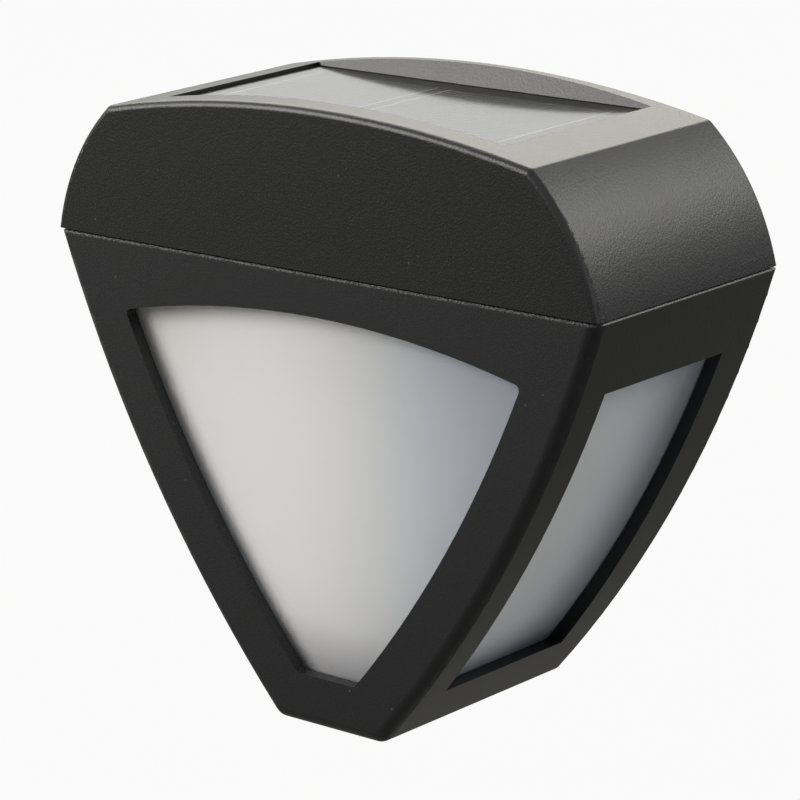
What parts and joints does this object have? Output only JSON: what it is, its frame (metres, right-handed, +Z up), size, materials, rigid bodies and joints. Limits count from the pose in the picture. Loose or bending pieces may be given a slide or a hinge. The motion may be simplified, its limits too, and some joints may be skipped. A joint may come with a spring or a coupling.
{
  "type": "solar fence light",
  "caption": "Wall-hung solar fence light: arched head with a flat panel on its roof, over a tapered lantern with a frosted tub behind three windows, keyhole plate and push button behind.",
  "frame": {"origin": "centre of the keyhole's entry, on the back plate's wall face", "axes": "+Y out of the keyhole towards the wall, so the front faces -Y; +Z up; +X to the right of someone who looks at the front"},
  "size_m": [0.125, 0.05, 0.1125],
  "materials": {
    "charcoal_plastic": "fine moulded texture",
    "frosted_plastic": "frosted, translucent",
    "white_plastic": "plain",
    "clear_resin": "glossy clear coat",
    "silicon_cell": "grey, with fine lines",
    "board_green": "solder mask",
    "board_white": "white solder mask",
    "sealant": "soft",
    "gasket_rubber": "soft",
    "button_rubber": "satin",
    "black_plastic": "plain",
    "plunger_plastic": "plain",
    "screw_steel": "zinc plated",
    "contact_steel": "nickel plated",
    "lamp_phosphor": "yellow phosphor",
    "cell_sleeve": "shrink sleeve",
    "component_black": "moulded",
    "lead_insulation": "soft"
  },
  "bodies": {
    "root": {"head_shell": "charcoal_plastic", "lantern_frame": "charcoal_plastic", "seam_gasket": "gasket_rubber", "diffuser": "frosted_plastic", "rear_reflector": "white_plastic", "back_plate": "charcoal_plastic", "back_plate_screws": "screw_steel", "led_tray": "white_plastic", "tray_screws": "screw_steel", "led_board": "board_white", "leds": "lamp_phosphor", "board_screws": "screw_steel", "battery_cell": "cell_sleeve", "battery_holder": "black_plastic", "battery_contact_plus": "contact_steel", "battery_contact_minus": "contact_steel", "battery_spring": "contact_steel", "control_board": "board_green", "board_components": "component_black", "switch_body": "black_plastic", "switch_terminals": "contact_steel", "solar_board": "board_white", "solar_cells": "silicon_cell", "panel_resin": "clear_resin", "panel_sealant": "sealant", "solar_leads": "lead_insulation", "battery_leads": "lead_insulation", "led_leads": "lead_insulation", "switch_leads": "lead_insulation"},
    "button": {"power_button": "button_rubber", "switch_plunger": "plunger_plastic"}
  },
  "joints": [
    {"name": "power_button_press", "type": "slide", "parent": "root", "child": "button", "axis": [0, -1, 0], "range_m": [0, 0.0016], "stiffness_N_per_m": 800, "springref_m": -0.0006}
  ]
}
